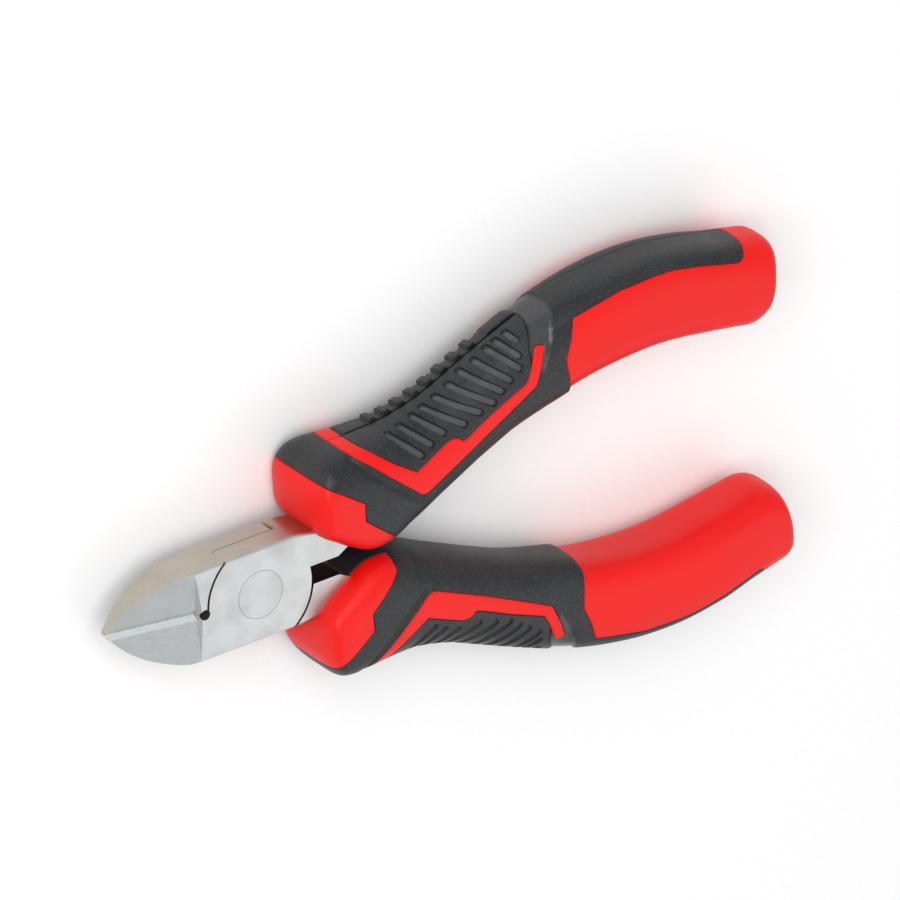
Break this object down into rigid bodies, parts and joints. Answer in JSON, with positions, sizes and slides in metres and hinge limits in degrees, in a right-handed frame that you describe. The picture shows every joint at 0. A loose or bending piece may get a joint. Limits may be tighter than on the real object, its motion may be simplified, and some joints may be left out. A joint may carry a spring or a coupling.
{
  "type": "diagonal cutting pliers",
  "caption": "Compact diagonal cutting pliers with a lap-jointed steel head and two-colour moulded grips that open about one rivet.",
  "frame": {"origin": "on the pivot axis, in the plane of the head's back face", "axes": "+X from the jaws to the handle ends, +Y towards the upper handle, +Z out of the front face"},
  "size_m": [0.1283, 0.0668, 0.0168],
  "materials": {
    "steel": "satin ground steel",
    "rivet_steel": "satin steel, flush ground",
    "red_plastic": "smooth satin moulded red",
    "core_plastic": "as moulded",
    "soft_black": "fine grained soft touch",
    "pad_black": "fine grained soft touch, ribbed"
  },
  "bodies": {
    "lower_half": {"lower_lever": "steel", "lower_nose_guard": "red_plastic", "lower_tail_shell": "red_plastic", "lower_front_stripe": "red_plastic", "lower_back_stripe": "red_plastic", "lower_tail_spine": "soft_black", "lower_soft_grip": "soft_black", "lower_ridged_spine": "soft_black", "lower_front_pad": "pad_black", "lower_back_pad": "pad_black", "lower_core_sleeve": "core_plastic", "pivot_rivet": "rivet_steel"},
    "upper_half": {"upper_lever": "steel", "upper_nose_guard": "red_plastic", "upper_tail_shell": "red_plastic", "upper_front_stripe": "red_plastic", "upper_back_stripe": "red_plastic", "upper_tail_spine": "soft_black", "upper_soft_grip": "soft_black", "upper_ridged_spine": "soft_black", "upper_front_pad": "pad_black", "upper_back_pad": "pad_black", "upper_core_sleeve": "core_plastic"}
  },
  "joints": [
    {"name": "pivot_hinge", "type": "hinge", "parent": "lower_half", "child": "upper_half", "pos_m": [0, 0, 0.0042], "axis": [0, 0, 1], "range_deg": [0, 30]}
  ]
}
